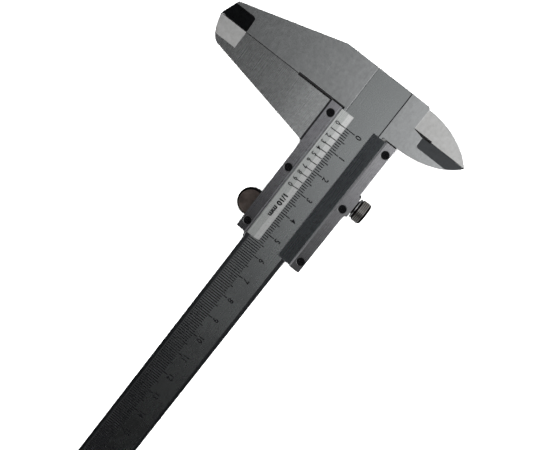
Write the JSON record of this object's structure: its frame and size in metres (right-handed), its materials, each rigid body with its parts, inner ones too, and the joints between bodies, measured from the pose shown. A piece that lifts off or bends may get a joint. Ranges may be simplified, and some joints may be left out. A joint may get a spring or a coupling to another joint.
{
  "type": "vernier caliper",
  "caption": "Vernier caliper with outside jaws, inside blades, depth rod, a sliding head with a thumb wheel, and a knurled locking screw.",
  "frame": {"origin": "middle of the bottom of the box round the closed caliper, which lies on the slider's back", "axes": "+X along the beam, the way the slider opens; +Y to the inside-measuring blades; +Z out of the face with the scale"},
  "size_m": [0.288, 0.1072, 0.0091],
  "materials": {
    "ground_steel": "satin ground tool steel",
    "cover_steel": "satin ground steel",
    "satin_chrome": "satin chrome with filled engraving",
    "black_steel": "black oxide",
    "nickel": "warm nickel plate, knurled",
    "spring_steel": "ground spring steel",
    "brass": "plain"
  },
  "bodies": {
    "beam": {"beam_with_fixed_jaws": "ground_steel", "stop_plate": "spring_steel", "stop_screw_1": "black_steel", "stop_screw_2": "black_steel"},
    "slider": {"slider_body_with_jaws": "ground_steel", "vernier_plate": "satin_chrome", "upper_bevel_plate": "cover_steel", "lower_front_strip": "cover_steel", "upper_front_strip": "cover_steel", "lower_strip_screw_1": "black_steel", "lower_strip_screw_2": "black_steel", "lower_strip_screw_3": "black_steel", "upper_strip_screw_1": "black_steel", "upper_strip_screw_2": "black_steel", "upper_strip_screw_3": "black_steel", "gib_strip": "brass", "gib_screw_1": "black_steel", "gib_screw_2": "black_steel", "depth_rod": "spring_steel", "depth_rod_screw": "black_steel", "wheel_axle": "spring_steel"},
    "thumb_wheel": {"thumb_wheel": "nickel"},
    "lock_screw": {"lock_screw": "nickel"}
  },
  "joints": [
    {"name": "slider_travel", "type": "slide", "parent": "beam", "child": "slider", "axis": [1, 0, 0], "range_m": [0, 0.2]},
    {"name": "wheel_turn", "type": "hinge", "parent": "slider", "child": "thumb_wheel", "pos_m": [-0.0749, -0.0017, 0.00445], "axis": [0, 0, 1], "range_deg": [0, 2050]},
    {"name": "lock_turn", "type": "hinge", "parent": "slider", "child": "lock_screw", "pos_m": [-0.0976, 0.03325, 0.0046], "axis": [0, -1, 0], "range_deg": [-360, 100]}
  ],
  "couplings": [
    {"joint": "wheel_turn", "follows": "slider_travel", "rad_per_m": 178.57}
  ]
}
